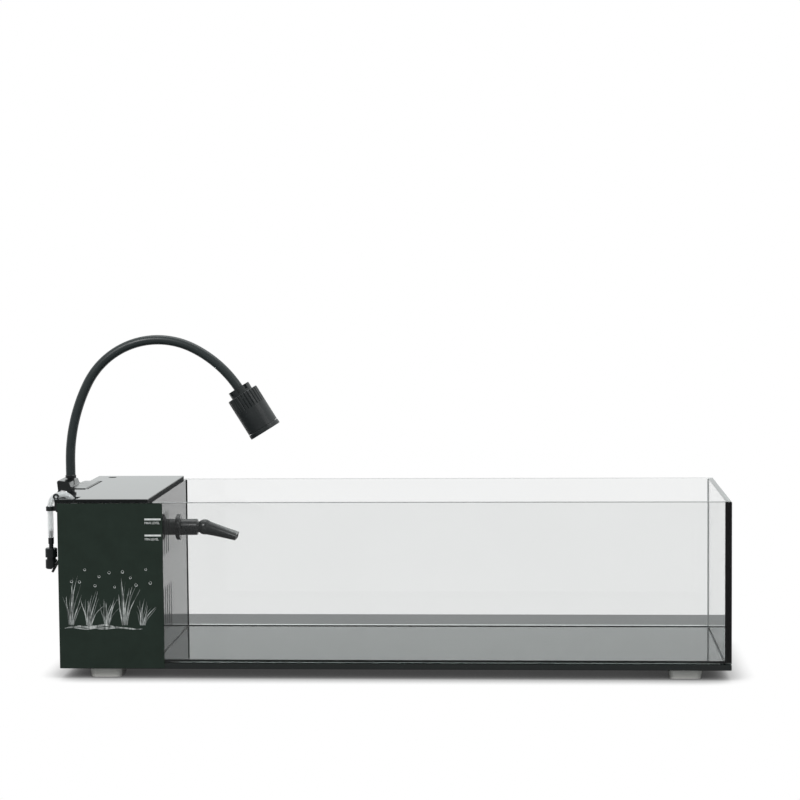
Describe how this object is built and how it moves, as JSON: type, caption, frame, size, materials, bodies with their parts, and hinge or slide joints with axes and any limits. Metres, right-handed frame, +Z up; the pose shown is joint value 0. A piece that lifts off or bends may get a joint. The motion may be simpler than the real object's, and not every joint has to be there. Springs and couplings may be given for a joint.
{
  "type": "glass aquarium",
  "caption": "Long shallow glass aquarium with a black filter box at one end, pump and return nozzle, drain hose with tap, and a gooseneck lamp clamped to the rim.",
  "frame": {"origin": "on the table, under the middle of the whole object", "axes": "+X along the tank away from the filter box, +Y from the front pane to the back, +Z up"},
  "size_m": [0.624, 0.2004, 0.3041],
  "materials": {
    "clear_glass": "polished",
    "black_glass": "polished, black backed",
    "gloss_black": "high gloss",
    "black_film": "satin film",
    "black_silicone": "satin",
    "pad_rubber": "matt",
    "black_plastic": "satin",
    "black_rubber": "matt",
    "neck_sleeve": "satin",
    "clear_hose": "clear flexible",
    "sponge": "open foam",
    "ceramic": "matt",
    "steel": "turned",
    "lens": "clear",
    "reflector": "bright",
    "board_white": "satin"
  },
  "bodies": {
    "tank": {"front_pane": "clear_glass", "back_pane": "clear_glass", "left_pane": "clear_glass", "right_pane": "clear_glass", "baffle": "clear_glass", "bottom_pane": "black_glass", "partition": "gloss_black", "front_film": "black_film", "back_film": "black_film", "side_film": "black_film", "bottom_seal": "black_silicone", "corner_seals": "black_silicone", "partition_seals": "black_silicone", "foot_pad_front_left": "pad_rubber", "foot_pad_front_right": "pad_rubber", "foot_pad_back_left": "pad_rubber", "foot_pad_back_right": "pad_rubber", "media_basket": "black_plastic", "pump_housing": "black_plastic", "pump_cover": "black_plastic", "outlet_pipe": "black_plastic", "bulkhead_nut": "black_plastic", "hose_clip": "black_plastic", "tap_collar": "black_plastic", "tap_body": "black_plastic", "lamp_clamp": "black_plastic", "bulkhead_washer": "black_rubber", "suction_cups": "black_rubber", "clamp_facing": "black_rubber", "return_hose": "black_rubber", "drain_hose": "clear_hose", "filter_sponge": "sponge", "ceramic_rings": "ceramic", "rotor_shaft": "steel"},
    "lid": {"lid": "gloss_black"},
    "flow_dial": {"flow_dial": "black_plastic"},
    "rotor": {"rotor": "black_plastic"},
    "outlet_collar": {"socket_collar": "black_plastic"},
    "nozzle": {"nozzle": "black_plastic"},
    "tap_handle": {"tap_cock": "black_plastic", "tap_lever": "black_plastic"},
    "clamp_screw": {"clamp_screw": "steel"},
    "clamp_knob": {"clamp_knob": "black_plastic"},
    "lamp_neck": {"neck_socket": "black_plastic", "gooseneck_lower": "neck_sleeve"},
    "lamp_neck_end": {"gooseneck_upper": "neck_sleeve"},
    "lamp_head": {"lamp_collar": "black_plastic", "lamp_shade": "black_plastic", "lamp_bezel": "black_plastic", "lamp_lens": "lens", "led_board": "board_white", "lamp_reflector": "reflector"}
  },
  "joints": [
    {"name": "lid_lift", "type": "slide", "parent": "tank", "child": "lid", "axis": [0, 0, 1], "range_m": [0, 0.025]},
    {"name": "flow_dial_turn", "type": "hinge", "parent": "tank", "child": "flow_dial", "pos_m": [-0.231, 0.023, 0.027], "axis": [0, 1, 0], "range_deg": [0, 90]},
    {"name": "rotor_spin", "type": "hinge", "parent": "tank", "child": "rotor", "pos_m": [-0.245, 0.032, 0.037], "axis": [0, 1, 0], "continuous": true},
    {"name": "outlet_turn", "type": "hinge", "parent": "tank", "child": "outlet_collar", "pos_m": [-0.193, 0, 0.1244], "axis": [1, 0, 0], "continuous": true},
    {"name": "nozzle_tilt", "type": "hinge", "parent": "outlet_collar", "child": "nozzle", "pos_m": [-0.17, 0, 0.1244], "axis": [0, 1, 0], "range_deg": [-26, 20]},
    {"name": "tap_turn", "type": "hinge", "parent": "tank", "child": "tap_handle", "pos_m": [-0.2966, -0.088, 0.1021], "axis": [0.866, 0, -0.5], "range_deg": [0, 90]},
    {"name": "clamp_screw_travel", "type": "slide", "parent": "tank", "child": "clamp_screw", "axis": [-1, 0, 0], "range_m": [0, 0.002]},
    {"name": "clamp_knob_turn", "type": "hinge", "parent": "clamp_screw", "child": "clamp_knob", "pos_m": [-0.303, 0.017, 0.142], "axis": [-1, 0, 0], "range_deg": [0, 905]},
    {"name": "lamp_swivel", "type": "hinge", "parent": "tank", "child": "lamp_neck", "pos_m": [-0.3005, 0.017, 0.169], "axis": [0, 0, 1], "range_deg": [-75, 75]},
    {"name": "neck_bend", "type": "hinge", "parent": "lamp_neck", "child": "lamp_neck_end", "pos_m": [-0.21546, 0.017, 0.29962], "axis": [0, 1, 0], "range_deg": [-20, 10]},
    {"name": "head_tilt", "type": "hinge", "parent": "lamp_neck_end", "child": "lamp_head", "pos_m": [-0.13725, 0.017, 0.25096], "axis": [0, 1, 0], "range_deg": [-25, 25]}
  ],
  "couplings": [
    {"joint": "clamp_knob_turn", "follows": "clamp_screw_travel", "rad_per_m": 7854}
  ]
}
